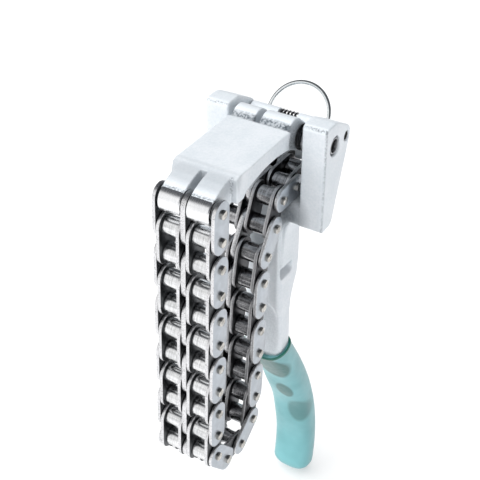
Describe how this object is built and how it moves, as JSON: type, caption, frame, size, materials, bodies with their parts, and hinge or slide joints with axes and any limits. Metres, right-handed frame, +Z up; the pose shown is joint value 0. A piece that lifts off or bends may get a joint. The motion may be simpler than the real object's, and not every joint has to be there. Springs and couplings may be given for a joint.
{
  "type": "chain filter wrench",
  "caption": "Chain wrench for oil filters: double roller chain on a cast tension lever, forged yoke head with a spring pawl and release ring, dipped teal grip.",
  "frame": {"origin": "middle of the hand grip, on its centre line", "axes": "+Z up along the neck towards the head, +Y from the chain towards the back of the handle, +X to the right along every pin"},
  "size_m": [0.0584, 0.1203, 0.2571],
  "materials": {
    "cast_silver": "satin grey cast and plated steel, fine grain",
    "chain_steel": "bright polished rollers, satin plates",
    "dark_chain_steel": "the same chain seen darker, oiled steel",
    "black_steel": "black oxide pins",
    "spring_steel": "oiled spring wire",
    "bright_wire": "bright plated wire",
    "teal_vinyl": "glossy dipped vinyl, teal green"
  },
  "bodies": {
    "handle": {"handle_body": "cast_silver", "grip": "teal_vinyl", "main_pin": "black_steel", "spacer_left": "black_steel", "spacer_right": "black_steel", "pawl_pin": "black_steel", "pawl_spring": "spring_steel", "pin_link_23": "dark_chain_steel", "roller_link_24_right": "dark_chain_steel", "roller_link_24_left": "dark_chain_steel", "pin_link_25": "dark_chain_steel"},
    "lever": {"tension_lever": "cast_silver"},
    "pawl": {"locking_pawl": "cast_silver", "release_ring": "bright_wire"},
    "link_01": {"pin_link_01": "chain_steel"},
    "link_02": {"roller_link_02_right": "chain_steel", "roller_link_02_left": "chain_steel"},
    "link_03": {"pin_link_03": "chain_steel"},
    "link_04": {"roller_link_04_right": "chain_steel", "roller_link_04_left": "chain_steel"},
    "link_05": {"pin_link_05": "chain_steel"},
    "link_06": {"roller_link_06_right": "chain_steel", "roller_link_06_left": "chain_steel"},
    "link_07": {"pin_link_07": "chain_steel"},
    "link_08": {"roller_link_08_right": "chain_steel", "roller_link_08_left": "chain_steel"},
    "link_09": {"pin_link_09": "chain_steel"},
    "link_10": {"roller_link_10_right": "dark_chain_steel", "roller_link_10_left": "dark_chain_steel"},
    "link_11": {"pin_link_11": "dark_chain_steel"},
    "link_22": {"roller_link_22_right": "dark_chain_steel", "roller_link_22_left": "dark_chain_steel"},
    "link_21": {"pin_link_21": "dark_chain_steel"},
    "link_20": {"roller_link_20_right": "dark_chain_steel", "roller_link_20_left": "dark_chain_steel"},
    "link_19": {"pin_link_19": "dark_chain_steel"},
    "link_18": {"roller_link_18_right": "dark_chain_steel", "roller_link_18_left": "dark_chain_steel"},
    "link_17": {"pin_link_17": "dark_chain_steel"},
    "link_16": {"roller_link_16_right": "dark_chain_steel", "roller_link_16_left": "dark_chain_steel"},
    "link_15": {"pin_link_15": "dark_chain_steel"},
    "link_14": {"roller_link_14_right": "dark_chain_steel", "roller_link_14_left": "dark_chain_steel"},
    "link_13": {"pin_link_13": "dark_chain_steel"},
    "link_12": {"roller_link_12_right": "dark_chain_steel", "roller_link_12_left": "dark_chain_steel"}
  },
  "joints": [
    {"name": "lever_pivot", "type": "hinge", "parent": "handle", "child": "lever", "pos_m": [0, -0.03189, 0.19442], "axis": [-1, 0, 0], "range_deg": [0, 20]},
    {"name": "pawl_pivot", "type": "hinge", "parent": "handle", "child": "pawl", "pos_m": [0, -0.02099, 0.19412], "axis": [1, 0, 0], "range_deg": [0, 35], "stiffness_Nm_per_rad": 0.15, "springref_deg": -20.05},
    {"name": "link_01_pivot", "type": "hinge", "parent": "lever", "child": "link_01", "pos_m": [0, -0.09729, 0.19322], "axis": [-1, 0, 0], "range_deg": [0, 31.46]},
    {"name": "link_02_pivot", "type": "hinge", "parent": "link_01", "child": "link_02", "pos_m": [0, -0.09795, 0.18054], "axis": [-1, 0, 0], "range_deg": [-24.88, 0]},
    {"name": "link_03_pivot", "type": "hinge", "parent": "link_02", "child": "link_03", "pos_m": [0, -0.09862, 0.16785], "axis": [-1, 0, 0], "range_deg": [-8.86, 0]},
    {"name": "link_04_pivot", "type": "hinge", "parent": "link_03", "child": "link_04", "pos_m": [0, -0.09928, 0.15517], "axis": [-1, 0, 0], "range_deg": [-13.44, 0]},
    {"name": "link_05_pivot", "type": "hinge", "parent": "link_04", "child": "link_05", "pos_m": [0, -0.09995, 0.14249], "axis": [-1, 0, 0], "range_deg": [-2.9, 0]},
    {"name": "link_06_pivot", "type": "hinge", "parent": "link_05", "child": "link_06", "pos_m": [0, -0.10061, 0.12981], "axis": [-1, 0, 0], "range_deg": [0, 2.9]},
    {"name": "link_07_pivot", "type": "hinge", "parent": "link_06", "child": "link_07", "pos_m": [0, -0.10128, 0.11712], "axis": [-1, 0, 0], "range_deg": [-2.9, 0]},
    {"name": "link_08_pivot", "type": "hinge", "parent": "link_07", "child": "link_08", "pos_m": [0, -0.10194, 0.10444], "axis": [-1, 0, 0], "range_deg": [0, 2.9]},
    {"name": "link_09_pivot", "type": "hinge", "parent": "link_08", "child": "link_09", "pos_m": [0, -0.10261, 0.09176], "axis": [-1, 0, 0], "range_deg": [0, 2.9]},
    {"name": "link_10_pivot", "type": "hinge", "parent": "link_09", "child": "link_10", "pos_m": [0, -0.10327, 0.07908], "axis": [-1, 0, 0], "range_deg": [0, 21.65]},
    {"name": "link_11_pivot", "type": "hinge", "parent": "link_10", "child": "link_11", "pos_m": [0, -0.10401, 0.0664], "axis": [-1, 0, 0], "range_deg": [-2.9, 0]},
    {"name": "link_22_pivot", "type": "hinge", "parent": "handle", "child": "link_22", "pos_m": [0, -0.04879, 0.17202], "axis": [-1, 0, 0], "range_deg": [0, 26.18]},
    {"name": "link_21_pivot", "type": "hinge", "parent": "link_22", "child": "link_21", "pos_m": [0, -0.05442, 0.16063], "axis": [-1, 0, 0], "range_deg": [0, 2.88]},
    {"name": "link_20_pivot", "type": "hinge", "parent": "link_21", "child": "link_20", "pos_m": [0, -0.06154, 0.15012], "axis": [-1, 0, 0], "range_deg": [-2.87, 0]},
    {"name": "link_19_pivot", "type": "hinge", "parent": "link_20", "child": "link_19", "pos_m": [0, -0.06435, 0.13773], "axis": [-1, 0, 0], "range_deg": [-2.88, 0]},
    {"name": "link_18_pivot", "type": "hinge", "parent": "link_19", "child": "link_18", "pos_m": [0, -0.06561, 0.1251], "axis": [-1, 0, 0], "range_deg": [-2.89, 0]},
    {"name": "link_17_pivot", "type": "hinge", "parent": "link_18", "child": "link_17", "pos_m": [0, -0.06689, 0.11246], "axis": [-1, 0, 0], "range_deg": [-40.68, 0]},
    {"name": "link_16_pivot", "type": "hinge", "parent": "link_17", "child": "link_16", "pos_m": [0, -0.06767, 0.09978], "axis": [-1, 0, 0], "range_deg": [0, 40.7]},
    {"name": "link_15_pivot", "type": "hinge", "parent": "link_16", "child": "link_15", "pos_m": [0, -0.06904, 0.08716], "axis": [-1, 0, 0], "range_deg": [0, 2.89]},
    {"name": "link_14_pivot", "type": "hinge", "parent": "link_15", "child": "link_14", "pos_m": [0, -0.07021, 0.07451], "axis": [-1, 0, 0], "range_deg": [0, 2.88]},
    {"name": "link_13_pivot", "type": "hinge", "parent": "link_14", "child": "link_13", "pos_m": [0, -0.07294, 0.06211], "axis": [-1, 0, 0], "range_deg": [0, 2.87]},
    {"name": "link_12_pivot", "type": "hinge", "parent": "link_13", "child": "link_12", "pos_m": [0, -0.08336, 0.05485], "axis": [-1, 0, 0], "range_deg": [-2.86, 0]}
  ],
  "couplings": [
    {"joint": "link_01_pivot", "follows": "lever_pivot", "ratio": 1.5479},
    {"joint": "link_02_pivot", "follows": "lever_pivot", "ratio": -1.2192},
    {"joint": "link_03_pivot", "follows": "lever_pivot", "ratio": -0.41781},
    {"joint": "link_04_pivot", "follows": "lever_pivot", "ratio": -0.64724},
    {"joint": "link_05_pivot", "follows": "lever_pivot", "ratio": -0.12003},
    {"joint": "link_06_pivot", "follows": "lever_pivot", "ratio": 0.12001},
    {"joint": "link_07_pivot", "follows": "lever_pivot", "ratio": -0.11997},
    {"joint": "link_08_pivot", "follows": "lever_pivot", "ratio": 0.12007},
    {"joint": "link_09_pivot", "follows": "lever_pivot", "ratio": 0.12009},
    {"joint": "link_10_pivot", "follows": "lever_pivot", "ratio": 1.0573},
    {"joint": "link_11_pivot", "follows": "lever_pivot", "ratio": -0.11989},
    {"joint": "link_22_pivot", "follows": "lever_pivot", "ratio": 1.2841},
    {"joint": "link_21_pivot", "follows": "lever_pivot", "ratio": 0.11911},
    {"joint": "link_20_pivot", "follows": "lever_pivot", "ratio": -0.11871},
    {"joint": "link_19_pivot", "follows": "lever_pivot", "ratio": -0.11909},
    {"joint": "link_18_pivot", "follows": "lever_pivot", "ratio": -0.11945},
    {"joint": "link_17_pivot", "follows": "lever_pivot", "ratio": -2.009},
    {"joint": "link_16_pivot", "follows": "lever_pivot", "ratio": 2.0101},
    {"joint": "link_15_pivot", "follows": "lever_pivot", "ratio": 0.11934},
    {"joint": "link_14_pivot", "follows": "lever_pivot", "ratio": 0.11903},
    {"joint": "link_13_pivot", "follows": "lever_pivot", "ratio": 0.11868},
    {"joint": "link_12_pivot", "follows": "lever_pivot", "ratio": -0.11791}
  ]
}
